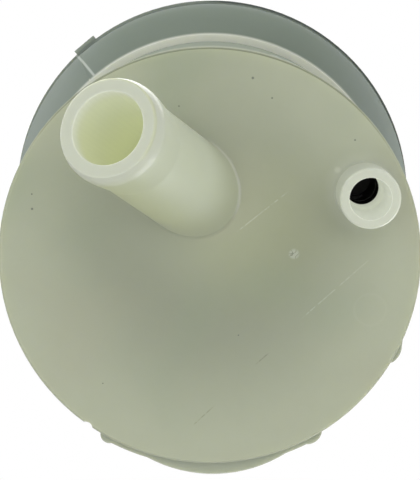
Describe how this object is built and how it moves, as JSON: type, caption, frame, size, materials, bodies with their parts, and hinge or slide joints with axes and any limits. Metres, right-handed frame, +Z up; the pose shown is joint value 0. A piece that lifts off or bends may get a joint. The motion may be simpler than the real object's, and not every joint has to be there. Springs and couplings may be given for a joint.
{
  "type": "power steering reservoir",
  "caption": "Translucent nylon power steering oil tank with an inclined suction spigot, a straight return spigot, an inner filter and a screw cap with dipstick.",
  "frame": {"origin": "on the tank's axis, in the outer face of the base disc", "axes": "+Z up along the tank's axis towards the cap, +Y to the bracket side, +X to the side of the return spigot"},
  "size_m": [0.0982, 0.0982, 0.1782],
  "materials": {
    "natural_nylon": "translucent natural nylon, glossy as moulded",
    "filter_plastic": "black moulded nylon",
    "white_plastic": "white moulded plastic",
    "cap_plastic": "black moulded plastic, fine grain",
    "mesh": "fine woven monofilament",
    "rubber": "moulded nitrile rubber",
    "spring_steel": "drawn wire"
  },
  "bodies": {
    "tank": {"lower_shell": "natural_nylon", "upper_shell": "natural_nylon", "filter_base": "filter_plastic", "return_seal": "rubber", "base_seal": "rubber", "filter_cage": "filter_plastic", "filter_mesh": "mesh", "filter_cover": "filter_plastic", "bypass_spring": "spring_steel", "baffle_plate": "white_plastic", "strainer_frame": "white_plastic", "strainer_mesh": "mesh"},
    "gasket": {"cap_gasket": "rubber"},
    "cap": {"cap_shell": "cap_plastic", "cap_insert": "cap_plastic", "vent_spring": "spring_steel", "dipstick": "cap_plastic"},
    "vent": {"vent_valve": "white_plastic", "vent_seal": "rubber"},
    "bypass": {"bypass_valve": "filter_plastic", "bypass_retainer": "spring_steel"}
  },
  "joints": [
    {"name": "cap_lift", "type": "slide", "parent": "tank", "child": "gasket", "axis": [0, 0, 1], "range_m": [0, 0.00605]},
    {"name": "cap_turn", "type": "hinge", "parent": "gasket", "child": "cap", "pos_m": [0, 0, 0.1295], "axis": [0, 0, 1], "range_deg": [0, 540]},
    {"name": "vent_lift", "type": "slide", "parent": "cap", "child": "vent", "axis": [0, 0, 1], "range_m": [0, 0.0015], "stiffness_N_per_m": 150, "springref_m": -0.003, "deforming": ["vent_spring"]},
    {"name": "bypass_drop", "type": "slide", "parent": "tank", "child": "bypass", "axis": [0, 0, -1], "range_m": [0, 0.003], "stiffness_N_per_m": 400, "springref_m": -0.003, "deforming": ["bypass_spring"]}
  ],
  "couplings": [
    {"joint": "cap_lift", "follows": "cap_turn", "m_per_rad": 0.00063662}
  ]
}
